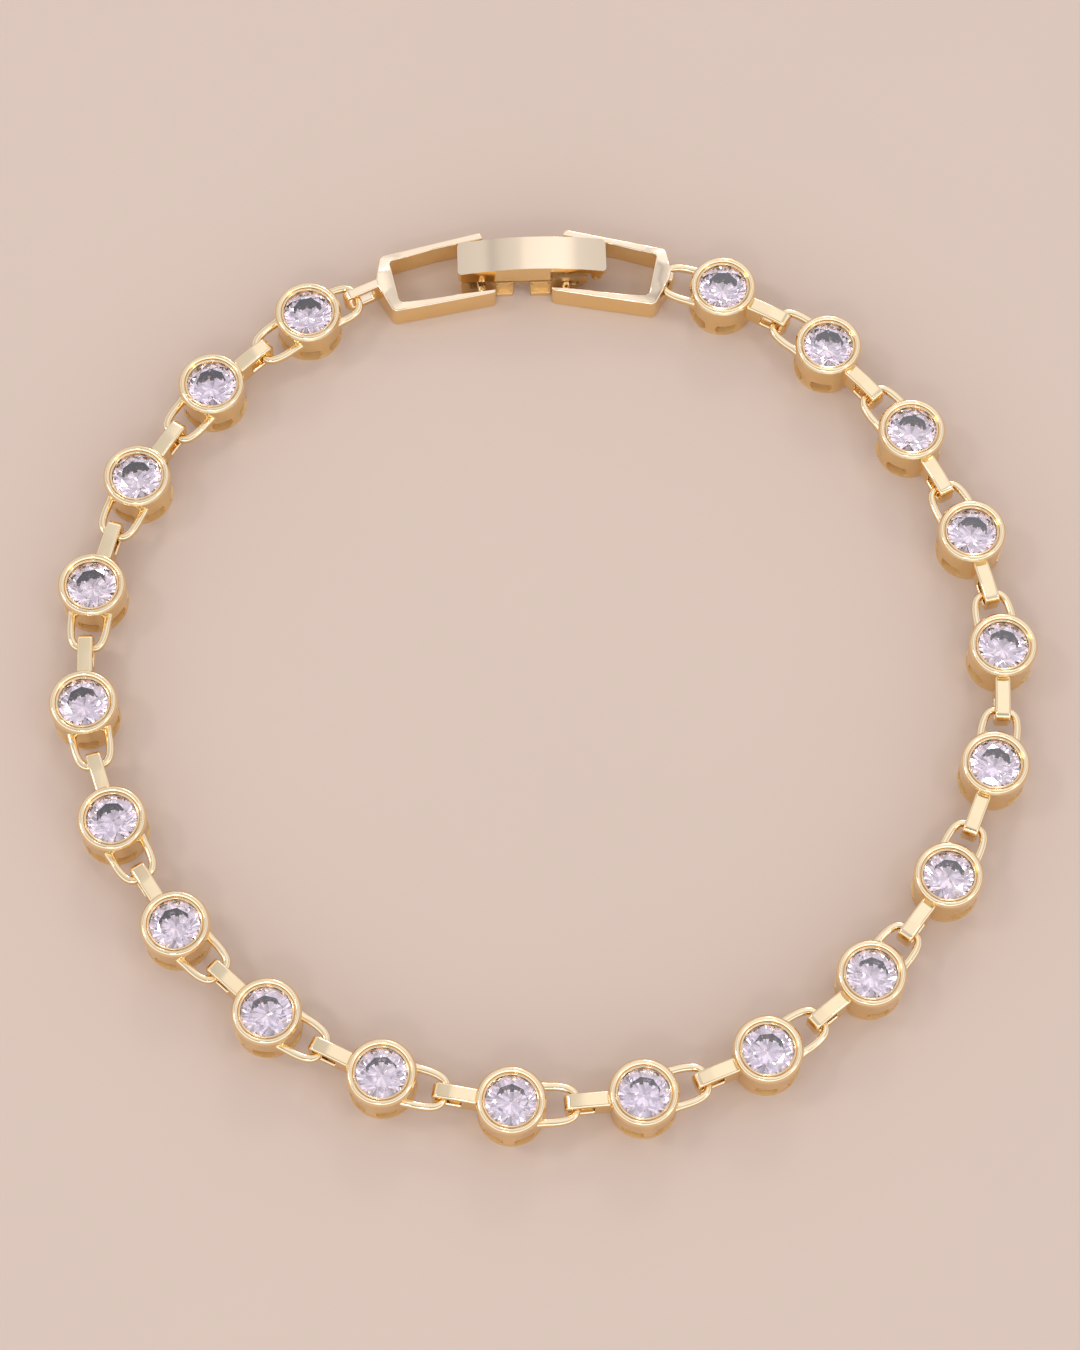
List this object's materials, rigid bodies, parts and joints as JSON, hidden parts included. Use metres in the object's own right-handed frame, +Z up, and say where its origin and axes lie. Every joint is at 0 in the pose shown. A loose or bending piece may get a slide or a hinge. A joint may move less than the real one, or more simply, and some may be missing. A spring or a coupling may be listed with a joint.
{
  "type": "solitaire chain bracelet",
  "caption": "Closed chain of round stones in gold tube settings, joined by flat loops and upright straps, with a fold-over clasp, lying flat.",
  "frame": {"origin": "centre of the bounding box on the surface the bracelet lies on", "axes": "+Z up from that surface, +Y from the middle of the loop towards the clasp, +X to the right seen from above"},
  "size_m": [0.0624, 0.0622, 0.0034],
  "materials": {
    "gold": "polished pale gold plating",
    "leaf_gold": "unpolished warm gold plating",
    "stone": "faceted pale lilac stone"
  },
  "bodies": {
    "bracelet": {"setting_01": "gold", "setting_02": "gold", "setting_03": "gold", "setting_04": "gold", "setting_05": "gold", "setting_06": "gold", "setting_07": "gold", "setting_08": "gold", "setting_09": "gold", "setting_10": "gold", "setting_11": "gold", "setting_12": "gold", "setting_13": "gold", "setting_14": "gold", "setting_15": "gold", "setting_16": "gold", "setting_17": "gold", "setting_18": "gold", "setting_19": "gold", "setting_20": "gold", "stone_01": "stone", "stone_02": "stone", "stone_03": "stone", "stone_04": "stone", "stone_05": "stone", "stone_06": "stone", "stone_07": "stone", "stone_08": "stone", "stone_09": "stone", "stone_10": "stone", "stone_11": "stone", "stone_12": "stone", "stone_13": "stone", "stone_14": "stone", "stone_15": "stone", "stone_16": "stone", "stone_17": "stone", "stone_18": "stone", "stone_19": "stone", "stone_20": "stone", "clasp_frame_right": "gold", "clasp_frame_left": "gold", "clasp_base": "leaf_gold", "hinge_pin": "gold"},
    "cover": {"clasp_cover": "gold"}
  },
  "joints": [
    {"name": "cover_hinge", "type": "hinge", "parent": "bracelet", "child": "cover", "pos_m": [0.0034, 0.0287, 0.00185], "axis": [-0.0314, 0.9995, 0], "range_deg": [0, 105]}
  ]
}
